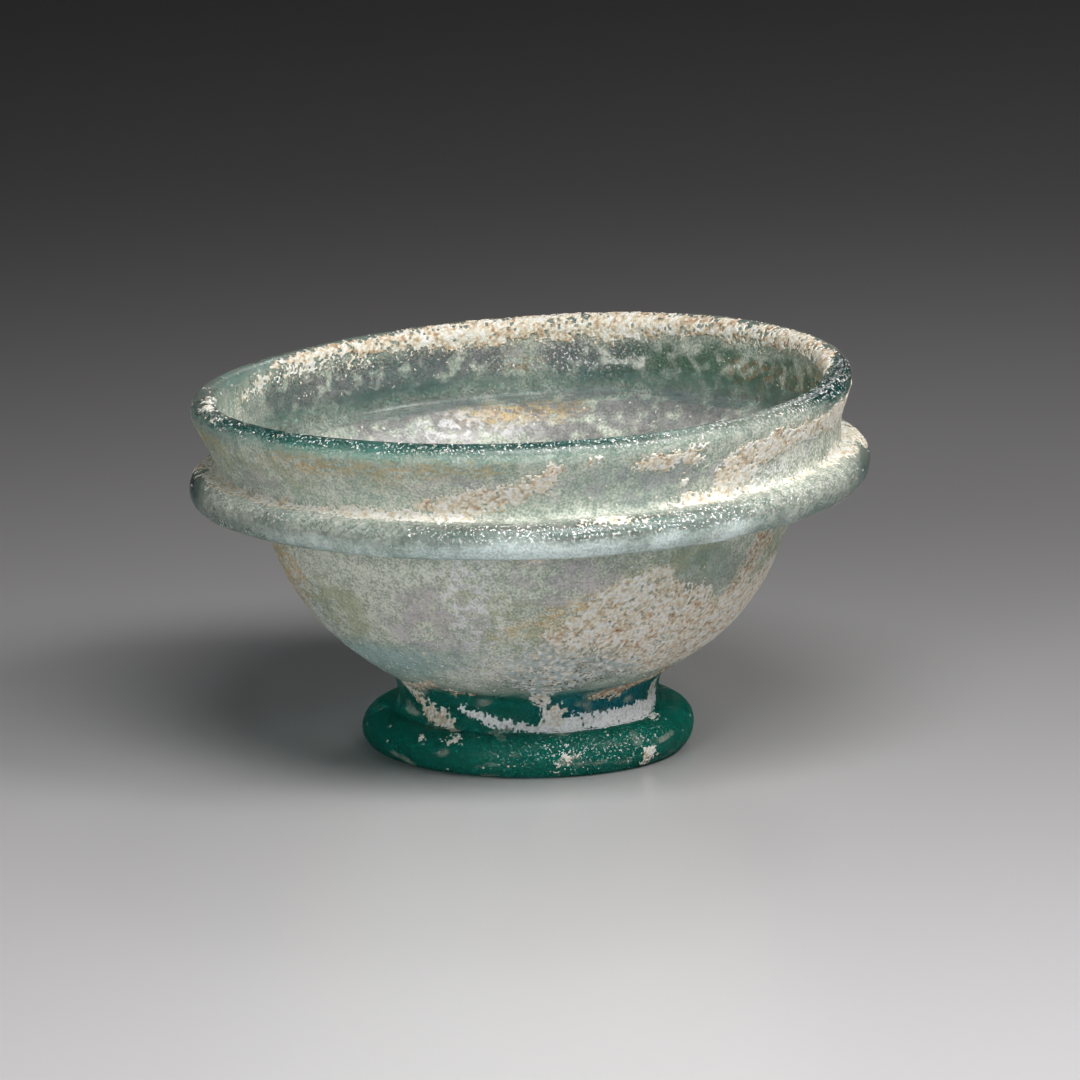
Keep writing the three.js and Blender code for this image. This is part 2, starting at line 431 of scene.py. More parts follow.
# Mineral crust. The first number of a patch is its warmth, from 0 for chalky and lilac to 1 for rusty, and
# the second its closeness, from 0 for scattered grains to 1 for an unbroken crust. A place on the glass is
# given by its azimuth in degrees from the front towards the right, a stretch of the outline and a share of
# it. An oval adds its half width and half height in millimetres, and may add a tilt in degrees. A band names
# its stretches in turn, each with the azimuth, the share and the half width of its points.
CRUST_OVALS = [
    (0.55, 0.86, (24, "collar", 0.86, 2.5, 0.9, 6)),
    (0.35, 0.86, (31, "collar", 0.9, 1.5, 1.2, 20)),
    (0.2, 0.85, (12.5, "lip", 0.02, 0.55, 0.5)),
    (0.3, 0.86, (29, "collar", 0.36, 0.4, 0.4)),
    (0.5, 0.8, (92, "flange", 0.93, 8.5, 1.7)),
    (0.5, 0.7, (-92, "flange", 0.93, 6, 1.6)),
    (0.3, 0.72, (9, "bowl", 0.28, 8.5, 5.5, 16)),
    (0.45, 0.82, (19, "bowl", 0.46, 8.5, 7.6, 24)),
    (0.4, 0.9, (24, "bowl", 0.72, 6.0, 3.8, 18)),
    (0.5, 0.84, (34, "bowl", 0.5, 8.5, 8.4, 12)),
    (0.45, 0.84, (47, "bowl", 0.42, 8, 7, -6)),
    (0.4, 0.84, (60, "bowl", 0.46, 7, 7.4, 4)),
    (0.4, 0.84, (74, "bowl", 0.5, 5.5, 7, 4)),
    (0.7, 0.82, (57, "bowl", 0.7, 2.2, 4.2, -24)),
    (0.85, 0.82, (61, "bowl", 0.9, 3.0, 2.7, 10)),
    (0.6, 0.82, (0, "bowl", 0.97, 2.1, 0.7)),
    (0.1, 0.9, (12, "stem", 0.3, 1.5, 1.5)),
    (0.75, 0.82, (-27, "bowl", 0.02, 1.1, 0.5)),
    (0.2, 0.85, (14, "foot", 0.51, 0.5, 0.4)),
    (0.2, 0.85, (10, "foot", 0.37, 0.45, 0.6)),
    (0.1, 0.95, (46, "foot", 0.38, 0.55, 0.8, 30)),
    (0.2, 0.85, (70, "foot", 0.51, 0.35, 0.3)),
    (0.2, 0.85, (-41, "foot", 0.69, 0.3, 0.3)),
    (0.2, 0.85, (-26, "foot", 0.73, 0.5, 0.3)),
    (0.5, 0.82, (150, "bowl", 0.82, 11, 6, -10)),
    (0.45, 0.82, (-150, "bowl", 0.38, 9, 5, 14)),
    (0.7, 0.82, (178, "bowl", 0.9, 4, 2.4)),
    (0.5, 0.86, (-120, "collar", 0.55, 5, 2, 12)),
    (0.5, 0.86, (135, "collar", 0.5, 6, 2.2, -10)),
    (0.3, 0.9, (-165, "stem", 0.4, 6, 1.2)),
]
CRUST_BANDS = [
    (0.5, 0.86, [
        ("collar", (-19, 0.12, 0.5), (-12, 0.25, 1.4), (-4, 0.3, 1.7), (2.5, 0.6, 1.3), (5.5, 0.85, 0.8)),
    ]),
    (0.45, 0.86, [
        ("collar",
            (36, 0.0, 1.3), (40, 0.38, 2.3), (49, 0.68, 2.0), (58, 0.74, 1.5), (70, 0.76, 1.5),
            (84, 0.84, 1.3), (97, 0.7, 1.0)),
    ]),
    (0.4, 0.85, [("groove", (-100, 0.4, 1.4), (-78, 0.2, 1.1), (-60, 0.4, 0.75), (-45, 0.5, 0.6))]),
    (0.2, 0.95, [("groove", (-50, 0.5, 0.2), (-40, 0.5, 0.45), (-25, 0.55, 0.55), (-11.5, 0.55, 0.65))]),
    (0.3, 0.7, [("flange", (8.5, 0.86, 0.3), (12, 0.84, 0.75), (17, 0.8, 0.85), (20, 0.77, 0.5))]),
    (0.3, 0.85, [
        ("groove",
            (25, 0.6, 0.4), (31, 0.5, 1.0), (41, 0.5, 0.8), (55, 0.4, 0.65), (68, 0.3, 0.8), (78, 0.2, 1.2),
            (100, 0.3, 1.4), (118, 0.4, 0.4)),
    ]),
    (0.15, 0.82, [("bowl", (4, 0.1, 1.8)), ("stem", (5, 0.95, 0.7), (7, 0.72, 0.3))]),
    (0.95, 0.85, [
        ("stem", (27, 0.9, 0.4), (36, 0.93, 0.9), (45, 0.98, 1.1)),
        ("bowl", (53, 0.05, 0.9), (57, 0.12, 0.5)),
    ]),
    (0.05, 0.95, [("stem", (66, 0.2, 0.4)), ("foot", (61, 0.95, 0.12), (56, 0.86, 0.0))]),
    (0.1, 0.92, [("stem", (64, 0.2, 0.7), (68, 0.55, 0.4), (72, 0.8, 0.25))]),
    (0.0, 1.0, [
        ("stem",
            (-30, 0.55, 0.0), (-21, 0.4, 0.12), (-12, 0.26, 0.18), (-4, 0.16, 0.18), (6, 0.1, 0.22),
            (10, 0.15, 0.95), (28, 0.14, 1.0), (43, 0.14, 1.0), (57, 0.16, 1.05), (66, 0.25, 0.75),
            (72, 0.45, 0.3)),
    ]),
    (0.85, 0.9, [("stem", (-66, 0.9, 0.45), (-55, 1.0, 0.65)), ("bowl", (-45, 0.05, 0.55), (-37, 0.1, 0.3))]),
    (0.5, 0.93, [
        ("stem", (-63, 0.9, 0.4), (-56, 0.7, 0.65), (-50, 0.48, 0.85), (-42, 0.26, 0.85), (-35, 0.12, 0.5)),
        ("foot", (-31, 0.97, 0.1)),
    ]),
    (0.62, 0.85, [
        ("lip",
            (236, 0.85, 0.6), (220, 0.85, 1.2), (205, 0.86, 1.5), (188, 0.86, 1.8), (168, 0.84, 2.3),
            (150, 0.8, 1.7), (130, 0.86, 1.5), (115, 0.78, 1.7), (100, 0.78, 1.3), (88, 0.8, 0.6)),
    ]),
    (0.25, 0.5, [
        ("inner_collar", (-106, 0.35, 0.4), (-116, 0.1, 1.1)),
        ("lip", (-128, 0.97, 1.5), (-140, 0.93, 1.4)),
        ("inner_collar", (-150, 0.1, 0.9)),
    ]),
    (0.2, 0.6, [("lip", (-90, 0.78, 0.3), (-78, 0.5, 0.35), (-66, 0.42, 0.3))]),
    (0.4, 0.85, [
        ("groove", (130, 0.5, 0.4), (155, 0.5, 0.9), (190, 0.6, 0.5), (215, 0.5, 0.9), (235, 0.5, 0.3)),
    ]),
    (0.2, 0.9, [("stem", (110, 0.1, 0.3), (150, 0.15, 0.8), (200, 0.1, 0.4), (230, 0.2, 0.7))]),
]

# A dark hole where the crust on the foot has flaked off, and a gap in the big patch.
CRUST_HOLES = [(-49, "stem", 0.5, 0.5, 0.4), (39, "bowl", 0.46, 1.0, 0.4, 20)]

# Crust grains stand where a texture rises above a level. The texture is the grains' own roundness and some
# noise. The level is higher where a patch is less close, and it grows towards the patch's frayed edge.
CRUST_GRAINS = {"size": 0.36, "seed": 31}
CRUST_FINE_NOISE = {"size": 0.8, "seed": 35, "octaves": 2}
CRUST_FINE_SHARE = 0.35
CRUST_BROAD_NOISE = {"size": 3.5, "seed": 38}
CRUST_BROAD_SHARE = 0.15
CRUST_SPARSENESS = 0.72
CRUST_EDGE_LEVEL = 0.95
CRUST_EDGE_FRAY = 1.7

# A patch's edge wanders by a noise, less where the crust is close and less far outside it, and it is soft
# over a width between two limits. Looseness says how quickly both grow as closeness drops.
CRUST_EDGE_NOISE = {"size": 2.4, "seed": 21, "octaves": 3}
CRUST_EDGE_WANDER = 1.3
CRUST_EDGE_REACH = (-3, 0.8)
CRUST_FAR_WANDER = 0.3
CRUST_CLOSE_WANDER = 0.25
CRUST_EDGE_SOFTNESS = (0.3, 1.2)
CRUST_LOOSENESS = 4

# Heights above the glass: at a patch's edge, what is gained from the edge inwards, what a full grain adds,
# the least height, and how deep the crust is bedded.
CRUST_EDGE_HEIGHT = 0.03
CRUST_DEPTH = 0.07
CRUST_DEPTH_REACH = (-0.3, 2)
CRUST_GRAIN_DEPTH = 0.1
CRUST_GRAIN_REACH = (-0.1, 0.6)
CRUST_LEAST_HEIGHT = 0.01
CRUST_BEDDING = 0.03

# What a field of distances holds where nothing is near, in millimetres, and a height that says no crust.
FAR_OUTSIDE = -9.0
BARE = -1.0


def crust_field(distance, azimuth, places):
    """How far inside the crust each place lies, in millimetres, with how warm and how closely grained it is
    there: the best of all the patches, with an edge that wanders."""
    inside = np.full(distance.shape, FAR_OUTSIDE)
    warmth = np.zeros(distance.shape)
    close = np.zeros(distance.shape)
    for shape, patches in ((blot, CRUST_OVALS), (streak, CRUST_BANDS)):
        for warm, closeness, patch in patches:
            field = shape(distance, azimuth, patch)
            best = field > inside
            warmth[best] = warm
            close[best] = closeness
            inside = np.maximum(inside, field)
    for hole in CRUST_HOLES:
        inside = np.minimum(inside, -blot(distance, azimuth, hole) * 2)
    loose = np.clip(CRUST_CLOSE_WANDER + CRUST_LOOSENESS * (1 - close), 0, 1)
    near = CRUST_FAR_WANDER + (1 - CRUST_FAR_WANDER) * smoothstep(inside, *CRUST_EDGE_REACH)
    inside = inside + CRUST_EDGE_WANDER * clouds(places, **CRUST_EDGE_NOISE) * near * loose
    return inside, warmth, close


# White specks: stretch and shares where they start and end, azimuths in degrees, size in millimetres, and how
# many of all the places for one are taken. They thin out at a region's ends and spill a little past them.
SPECKS = [
    ("lip", 0.2, 0.6, -100, 100, 0.5, 0.22),
    ("lip", 0.5, 1.0, 60, 300, 0.5, 0.1),
    ("flange", 0.5, 0.85, -22, 80, 0.5, 0.2),
    ("flange", 0.5, 0.9, -90, 270, 0.6, 0.05),
    ("collar", 0.05, 0.8, 40, 84, 0.45, 0.4),
    ("collar", 0.0, 1.0, -180, 180, 0.6, 0.035),
    ("foot", 0.3, 0.66, -20, 44, 0.35, 0.4),
    ("foot", 0.2, 0.9, -180, 180, 0.6, 0.02),
    ("bowl", 0.15, 1.0, -75, 30, 0.42, 0.3),
    ("bowl", 0.05, 1.0, -180, 180, 0.6, 0.07),
    ("inner_collar", 0.0, 0.75, -180, 180, 0.45, 0.24),
    ("below_ledge", 0.0, 1.0, -180, 180, 0.6, 0.12),
    ("inner_bowl", 0.0, 1.0, -180, 180, 0.7, 0.08),
]
SPECK_HEIGHT = 0.08
SPECK_ROUNDING = 0.1
SPECK_CORE = 0.52
SPECK_SPILL = 0.3
SPECK_FADE = 1.1
SPECK_FADE_DEGREES = 8
SPECK_UNEVENNESS = 0.8
SPECK_CLUSTER = 4
SPECK_SEED = 60
SPECK_SEED_STEP = 5
SPECK_CLUSTER_SEED = 90
SPECK_WARMTH = 0.2

# How softly a tinted patch fades at its edge, in millimetres.
PATCH_SOFTNESS = 1.5

# Where the crust is blue-grey: the lower left end of the big patch, and a stretch of the collar's foot.
COOL_WANDER = 1.5
COOL_NOISE = {"size": 3, "seed": 51, "octaves": 3}
COOL_PATCHES = [(11, "bowl", 0.24, 9.5, 5.5, 10), (2, "bowl", 0.4, 4, 3), (54, "collar", 0.2, 9, 1.5, 12)]


def speck_field(distance, azimuth, places):
    """How far inside a loose white speck each place lies, in millimetres."""
    inside = np.full(distance.shape, FAR_OUTSIDE)
    degrees = np.degrees(azimuth)
    for number, (stretch, start, end, left, right, size, share) in enumerate(SPECKS):
        low = OUTLINE.along(stretch, start) - SPECK_SPILL
        high = OUTLINE.along(stretch, end) + SPECK_SPILL
        within = between(distance, low, high, SPECK_FADE)
        if right - left < 360:
            within = within * between((degrees - left) % 360, 0, right - left, SPECK_FADE_DEGREES)
        near = within > 0.01
        if near.any():
            grain, own = grains(places[near], size, SPECK_SEED + SPECK_SEED_STEP * number)
            cluster = clouds(places[near], SPECK_CLUSTER, SPECK_CLUSTER_SEED + number, 2)
            uneven = 1 + SPECK_UNEVENNESS * cluster
            taken = own < share * within[near] * uneven
            field = np.where(taken, (grain - SPECK_CORE) * size, FAR_OUTSIDE)
            inside[near] = np.maximum(inside[near], field)
    return inside


def patch_share(distance, azimuth, patches, wander):
    """How much each place belongs to any of the patches, from 0 to 1, with soft edges that wander."""
    fields = [blot(distance, azimuth, patch) + wander for patch in patches]
    return np.max([smoothstep(field, -PATCH_SOFTNESS, PATCH_SOFTNESS) for field in fields], axis=0)


def crust_cover(distance, azimuth):
    """How high crust and specks stand above the glass, BARE where there are none, and what the crust's
    colours go by."""
    places = on_glass(distance, azimuth)
    inside, warmth, close = crust_field(distance, azimuth, places)
    grain, own = grains(places, **CRUST_GRAINS)
    fine = CRUST_FINE_SHARE * clouds(places, **CRUST_FINE_NOISE)
    texture = grain + fine + CRUST_BROAD_SHARE * cloud(places, **CRUST_BROAD_NOISE)
    least, most = CRUST_EDGE_SOFTNESS
    soft = np.minimum(least + CRUST_LOOSENESS * (1 - close), most)
    core = smoothstep((inside + CRUST_EDGE_FRAY) / (soft + CRUST_EDGE_FRAY), 0, 1)
    sparse = CRUST_SPARSENESS * (1 - close)
    above = texture - (sparse + (CRUST_EDGE_LEVEL - sparse) * (1 - core))
    level = CRUST_EDGE_HEIGHT + CRUST_DEPTH * smoothstep(inside, *CRUST_DEPTH_REACH)
    level = level + CRUST_GRAIN_DEPTH * smoothstep(above, *CRUST_GRAIN_REACH)
    crusted = (above > 0) & (inside > -CRUST_EDGE_FRAY)
    speck = speck_field(distance, azimuth, places)
    speck_level = SPECK_HEIGHT * smoothstep(speck, 0, SPECK_ROUNDING)
    height = np.maximum(np.where(crusted, level, BARE), np.where(speck > 0, speck_level, BARE))
    wander = COOL_WANDER * clouds(places, **COOL_NOISE)
    values = {
        "warmth": np.where(crusted, warmth, SPECK_WARMTH),
        "grain": grain,
        "own": own,
        "cool": patch_share(distance, azimuth, COOL_PATCHES, wander),
    }
    return height, values


def rim_walls(corners, count):
    """Walls from the open edges of four-cornered faces down to a copy of their points, numbered on from
    count. An edge is open if no neighbour runs along it the other way."""
    ends = np.stack([corners, np.roll(corners, -1, axis=1)], axis=-1).reshape(-1, 2).astype(np.int64)
    paired = np.isin(ends[:, 0] * count + ends[:, 1], ends[:, 1] * count + ends[:, 0])
    start, end = ends[~paired].T
    return np.column_stack([end, start, start + count, end + count])


def crust_piece(name, start, end, distance_step, around, material):
    """The crust between two distances along the outline: the cells of a fine grid that crust or specks cover,
    raised by their height, closed by walls and by an underside that is bedded a little into the glass."""
    distance, azimuth = surface_grid(start, end, distance_step, around)
    height, values = crust_cover(distance, azimuth)
    faces = grid_faces(len(distance), around)
    kept = faces[(height.ravel()[faces] > BARE / 2).all(axis=1)]
    used, corners = np.unique(kept, return_inverse=True)
    corners = corners.reshape(kept.shape)
    line, turn = distance.ravel()[used], azimuth.ravel()[used]
    base = glass_relief(line, turn)
    top = on_glass(line, turn, base + np.maximum(height.ravel()[used], CRUST_LEAST_HEIGHT))
    bottom = on_glass(line, turn, base - CRUST_BEDDING)
    blocks = [corners, corners[:, ::-1] + len(used), rim_walls(corners, len(used))]
    values = {key: np.tile(value.ravel()[used], 2) for key, value in values.items()}
    return new_piece(name, np.vstack([top, bottom]), blocks, material, values)


# The milky film: how well it covers the glass at shares of the outline's stretches, and how much more or less
# it covers in some patches.
FILM_ALONG = [
    ("hollow", (0.0, 0.3)), ("foot_inside", (0.5, 0.4)), ("foot", (0.1, 0.6), (0.6, 0.68), (0.95, 0.6)),
    ("stem", (0.4, 0.6), (0.95, 0.55)), ("bowl", (0.04, 0.45), (0.1, 0.6), (0.22, 0.88), (1.0, 0.92)),
    ("flange_root", (0.6, 0.5)), ("flange", (0.1, 0.2), (0.4, 0.3), (0.65, 0.5), (0.85, 0.62)),
    ("groove", (0.5, 0.75)), ("collar", (0.3, 0.85), (0.95, 0.74)),
    ("lip", (0.15, 0.55), (0.34, 0.25), (0.7, 0.15)), ("inner_collar", (0.1, 0.6), (0.6, 0.75), (0.78, 0.3)),
    ("ledge", (0.45, 0.3), (0.95, 0.55)), ("below_ledge", (0.4, 0.85)),
    ("inner_bowl", (0.4, 0.85), (0.85, 0.4)), ("floor", (0.3, 0.2), (1.0, 0.3)),
]
FILM_PATCHES = [
    (-0.4, (-48, "bowl", 0.3, 17, 4.2, 10)),
    (-0.35, (43, "bowl", 0.78, 6, 4)),
    (-0.2, (24, "bowl", 0.92, 12, 2.5)),
    (-0.2, (23, "collar", 0.45, 9, 3.2)),
    (0.3, (-168, "below_ledge", 0.6, 7, 2.6)),
    # More film along the underside of the flange's front, to carry the painted highlight there.
    (0.75, (2, "flange", 0.28, 32, 1.6)),
    (-0.6, (78, "lip", 0.4, 13, 3)),
    (-0.45, (-92, "flange", 0.62, 14, 3.6)),
    (-0.35, (88, "flange", 0.55, 12, 3)),
    (-0.35, (4, "flange", 0.7, 30, 2.0)),
    (-0.35, (-35, "lip", 0.4, 34, 1.6)),
]

# Mottles that the tints come in: size in millimetres, and how many times wider than high they are.
FILM_MOTTLES = {"grains": (1.0, 1.0), "clouds": (2.3, 1.2), "drawn": (1.5, 3.2), "washes": (4.5, 2.0)}

# A tint has a colour, how strongly it covers, which mottles it comes in, the stretch of their noise over
# which it fades in, and patches.
Tint = namedtuple("Tint", "colour strength mottles fade patches")
FILM_TINTS = {
    "olive": Tint((0.5, 0.53, 0.36), 0.85, "clouds", (0.42, 0.56), [
        (-8, "bowl", 0.66, 11, 5), (6, "bowl", 0.55, 7, 4), (30, "bowl", 0.86, 10, 2.4),
        (-52, "bowl", 0.62, 6, 5), (70, "bowl", 0.75, 6, 5), (-60, "collar", 0.5, 12, 2.5),
    ]),
    "mauve": Tint((0.6, 0.57, 0.57), 0.9, "clouds", (0.42, 0.56), [
        (8, "bowl", 0.84, 8, 4), (-24, "bowl", 0.6, 7, 6), (-8, "collar", 0.55, 6, 2),
        (24, "collar", 0.5, 14, 2.4), (150, "below_ledge", 0.5, 22, 5), (-160, "below_ledge", 0.5, 20, 4),
        (-172, "inner_collar", 0.45, 16, 2.4), (-58, "collar", 0.25, 5, 1.8),
    ]),
    # Painted shade: a grey darkening inside the back of the bowl, below the rim.
    "painted_shade_grey": Tint((0.3, 0.29, 0.28), 0.8, "clouds", (0.3, 0.5), [
        (152, "below_ledge", 0.5, 20, 5), (-168, "below_ledge", 0.1, 20, 3), (150, "inner_bowl", 0.2, 20, 5),
    ]),
    "ochre": Tint((0.7, 0.54, 0.3), 0.95, "drawn", (0.42, 0.54), [
        (-36, "collar", 0.92, 10, 1.5, -3), (-14, "collar", 0.98, 8, 1.2), (-72, "bowl", 0.75, 6, 6),
        (-178, "below_ledge", 0.2, 6, 1.6), (-75, "collar", 0.85, 7, 1.2), (100, "inner_collar", 0.4, 6, 3),
        (12, "bowl", 0.7, 9, 1.2, 22), (-90, "bowl", 0.3, 5, 6),
    ]),
    "chalk": Tint((0.9, 0.89, 0.9), 0.85, "grains", (0.46, 0.6), [
        (-165, "below_ledge", 0.6, 9, 2.2), (52, "collar", 0.2, 6, 1.2, 8), (-13, "bowl", 0.66, 3.5, 11),
        (-18, "bowl", 0.3, 11, 2.2, -6), (-4, "bowl", 0.4, 7, 2.5, 12), (166, "inner_collar", 0.55, 6, 1.2),
        (-66, "bowl", 0.5, 2, 7),
    ]),
    # Painted shade inside the back of the collar, and a dark grey patch on the front of the bowl.
    "painted_shade_and_dark_grey": Tint((0.16, 0.165, 0.17), 0.9, "clouds", (0.3, 0.47), [
        (9, "bowl", 0.2, 8, 3.6, 12), (-150, "inner_collar", 0.5, 22, 3.2),
        (165, "inner_collar", 0.5, 12, 2.6), (-128, "inner_collar", 0.45, 11, 3),
    ]),
    "forest": Tint((0.1, 0.17, 0.11), 0.9, "clouds", (0.36, 0.55), [
        (142, "inner_collar", 0.55, 13, 3), (118, "inner_collar", 0.6, 11, 3.4),
        (100, "inner_collar", 0.5, 8, 3.4),
    ]),
    "brown": Tint((0.34, 0.23, 0.12), 0.85, "grains", (0.5, 0.6), [
        (-180, "inner_collar", 0.55, 3, 2), (122, "inner_collar", 0.7, 9, 3),
        (-178, "below_ledge", 0.25, 4, 1.2),
    ]),
    # Painted highlight: a pale aqua glow along the underside of the flange's front, standing in for light
    # through its fold, and a pale aqua patch low on the bowl's left.
    "painted_highlight_and_pale_aqua": Tint((0.8, 0.93, 0.91), 1.0, "washes", (0.1, 0.35), [
        (0, "flange", 0.27, 32, 1.9), (-50, "bowl", 0.28, 12, 3.2, 10),
    ]),
    "foot_green": Tint((0.006, 0.18, 0.13), 1.0, "washes", (0.2, 0.4), [(0, "foot", 0.4, 400, 13.4)]),
    # The bluish colour of the thick neck, with a painted glow that stands in for the light passing through
    # it.
    "peacock_and_painted_glow": Tint((0.006, 0.2, 0.27), 1.0, "washes", (0.2, 0.4), [(42, "stem", 0.7, 9, 2.6)]),
}

# Where the film is beaded with tiny white dots.
FROST_PATCHES = [
    (0, "lip", 0.36, 100, 0.8), (70, "lip", 0.4, 20, 2.2), (20, "flange", 0.68, 34, 1.7),
    (52, "collar", 0.2, 9, 2.2), (72, "collar", 0.7, 12, 2.6), (18, "foot", 0.62, 9, 1.6),
    (168, "inner_collar", 0.5, 8, 1.6), (-60, "flange", 0.85, 20, 1.3),
]
FILM_HEIGHT = 0.025
FILM_WANDER = 1.3
FILM_WANDER_NOISE = {"size": 4.5, "seed": 41, "octaves": 3}
FILM_PATCH_REACH = (-1.2, 1.5)
FILM_UNEVENNESS = 0.3
FILM_UNEVEN_NOISE = {"size": 7, "seed": 45, "octaves": 3}

# The creamier film beside the crust: where it starts and is full, in millimetres inside the crust's edge, and
# the share of the bowl's wall over which it sets in above the stem.
HALO_REACH = (-1.6, 0.4)
HALO_START = 0.1


def film_values(distance, azimuth):
    """Cover by the film from 0 to 1, how frosted it is, how near to crust, and the share of each tint."""
    places = on_glass(distance, azimuth)
    steps = [(OUTLINE.along(stretch, share), cover) for stretch, *run in FILM_ALONG for share, cover in run]
    cover = np.interp(distance, *zip(*steps))
    wander = FILM_WANDER * clouds(places, **FILM_WANDER_NOISE)
    for gain, patch in FILM_PATCHES:
        cover = cover + gain * smoothstep(blot(distance, azimuth, patch) + wander, *FILM_PATCH_REACH)
    cover = cover * (1 + FILM_UNEVENNESS * clouds(places, **FILM_UNEVEN_NOISE))
    inside, _, _ = crust_field(distance, azimuth, places)
    above_stem = smoothstep(distance, OUTLINE.along("bowl", 0), OUTLINE.along("bowl", HALO_START))
    values = {
        "cover": np.clip(cover, 0, 1),
        "frost": patch_share(distance, azimuth, FROST_PATCHES, wander),
        "halo": smoothstep(inside, *HALO_REACH) * above_stem,
    }
    for name, tint in FILM_TINTS.items():
        values[name] = patch_share(distance, azimuth, tint.patches, wander)
    return values


def add(tree, kind, settings=None, **inputs):
    """A node, with its own settings, and inputs by name that are plain values or other nodes' sockets."""
    node = tree.nodes.new(kind)
    for key, value in (settings or {}).items():
        setattr(node, key, value)
    for key, value in inputs.items():
        key = key.replace("_", " ")
        socket = node.inputs[int(key[2:])] if key.startswith("at") else node.inputs[key]
        if isinstance(value, bpy.types.NodeSocket):
            tree.links.new(value, socket)
        else:
            socket.default_value = value
    return node


def math_node(tree, operation, first, second, clamp=False):
    """One operation on two values."""
    settings = {"operation": operation, "use_clamp": clamp}
    return add(tree, "ShaderNodeMath", settings, at0=first, at1=second).outputs[0]


def times(tree, first, second):
    """The product of two values."""
    return math_node(tree, "MULTIPLY", first, second)


def plus(tree, first, second):
    """The sum of two values."""
    return math_node(tree, "ADD", first, second)


def mix_colour(tree, share, first, second):
    """A blend of two colours by a share."""
    node = add(tree, "ShaderNodeMix", {"data_type": "RGBA"}, Factor=share)
    for index, value in ((6, first), (7, second)):
        if isinstance(value, bpy.types.NodeSocket):
            tree.links.new(value, node.inputs[index])
        else:
            node.inputs[index].default_value = (*value, 1)
    return node.outputs[2]


def attribute(tree, name):
    """A value that the mesh carries for each of its points."""
    return add(tree, "ShaderNodeAttribute", {"attribute_name": name}).outputs["Fac"]


def spread_node(tree, value, low, high, first=0.0, last=1.0):
    """The first of two results below low, the last above high, and an even change between."""
    ends = {"From_Min": low, "From_Max": high, "To_Min": first, "To_Max": last}
    return add(tree, "ShaderNodeMapRange", Value=value, **ends).outputs[0]


def speckle_group():
    """Fine mottling in the object's own space: noise with grains of a size in metres, stretched to more
    contrast."""
    tree = bpy.data.node_groups.new("speckle", "ShaderNodeTree")
    for name in ("Size", "Flatness", "Low", "High", "Detail"):
        tree.interface.new_socket(name, in_out="INPUT", socket_type="NodeSocketFloat")
    tree.interface.new_socket("Value", in_out="OUTPUT", socket_type="NodeSocketFloat")
    given = tree.nodes.new("NodeGroupInput").outputs
    scale = math_node(tree, "DIVIDE", 1.0, given["Size"])
    flat = add(tree, "ShaderNodeCombineXYZ", X=1.0, Y=1.0, Z=given["Flatness"]).outputs[0]
    places = add(tree, "ShaderNodeTexCoord").outputs["Object"]
    drawn = add(tree, "ShaderNodeVectorMath", {"operation": "MULTIPLY"}, at0=places, at1=flat).outputs[0]
    noise = add(tree, "ShaderNodeTexNoise", Vector=drawn, Scale=scale, Detail=given["Detail"]).outputs["Fac"]
    spread = spread_node(tree, noise, given["Low"], given["High"])
    tree.links.new(spread, tree.nodes.new("NodeGroupOutput").inputs["Value"])
    return tree


SPECKLE = speckle_group()


def speckle(tree, size, low, high, detail, flatness=1.0):
    """Mottling with grains of a size in millimetres, from 0 at the low end of the noise to 1 at the high end.
    Flatness says how many times wider than high the grains are."""
    values = {"Size": size * MM, "Flatness": flatness, "Low": low, "High": high, "Detail": detail}
    return add(tree, "ShaderNodeGroup", {"node_tree": SPECKLE}, **values).outputs["Value"]


def finish(name, **values):
    """A new material with one Principled shader, whose plain sockets get the given values."""
    material = bpy.data.materials.new(name)
    material.use_nodes = True
    tree = material.node_tree
    shader = tree.nodes["Principled BSDF"]
    for key, value in values.items():
        shader.inputs[key.replace("_", " ")].default_value = value
    return material, tree, shader


def bump(tree, shader, height, depth, strength=1.0):
    """Fine relief under a tenth of a millimetre, with its depth in millimetres."""
    node = add(tree, "ShaderNodeBump", Height=height, Distance=depth * MM, Strength=strength)
    tree.links.new(node.outputs["Normal"], shader.inputs["Normal"])


# Mottling is given by its size in millimetres, the low and high end of its noise, and the noise's detail.
# Relief is given by its depth in millimetres and its strength.
GLASS_TINT = (0.9, 0.97, 0.95, 1)
GLASS_IOR = 1.52
GLASS_DEPTH_COLOUR = (0.03, 0.83, 0.82, 1)
GLASS_DEPTH_DENSITY = 230.0
GLASS_ROUGHNESS = (0.24, 0.42)
GLASS_PATCHES = (5.0, 0.35, 0.65, 1.0)
GLASS_PITS = (0.4, 0.35, 0.75, 1.0)
GLASS_PIT_SHARE = 0.6
GLASS_LINE_SHARE = 0.8
GLASS_LINE_SCALE = (40.0, 40.0, 1500.0)
GLASS_RELIEF = (0.05, 0.6)


def glass_finish():
    """Blue-green glass: see-through, deeper in colour where it is thick, its skin dulled and finely pitted,
    with drawn-out lines left by the tooling of flange and collar."""
    material, tree, shader = finish(
        "blue_green_glass", Base_Color=GLASS_TINT, Transmission_Weight=1.0, IOR=GLASS_IOR, Metallic=0.0
    )
    rough = spread_node(tree, speckle(tree, *GLASS_PATCHES), 0.0, 1.0, *GLASS_ROUGHNESS)
    tree.links.new(rough, shader.inputs["Roughness"])
    coordinates = add(tree, "ShaderNodeTexCoord").outputs["Object"]
    drawn = add(tree, "ShaderNodeMapping", Vector=coordinates, Scale=GLASS_LINE_SCALE).outputs[0]
    lines = add(tree, "ShaderNodeTexNoise", Vector=drawn, Scale=1.0, Detail=1.0).outputs["Fac"]
    pits = times(tree, speckle(tree, *GLASS_PITS), GLASS_PIT_SHARE)
    bump(tree, shader, plus(tree, pits, times(tree, lines, GLASS_LINE_SHARE)), *GLASS_RELIEF)
    volume = add(tree, "ShaderNodeVolumeAbsorption", Color=GLASS_DEPTH_COLOUR, Density=GLASS_DEPTH_DENSITY)
    tree.links.new(volume.outputs[0], tree.nodes["Material Output"].inputs["Volume"])
    return material


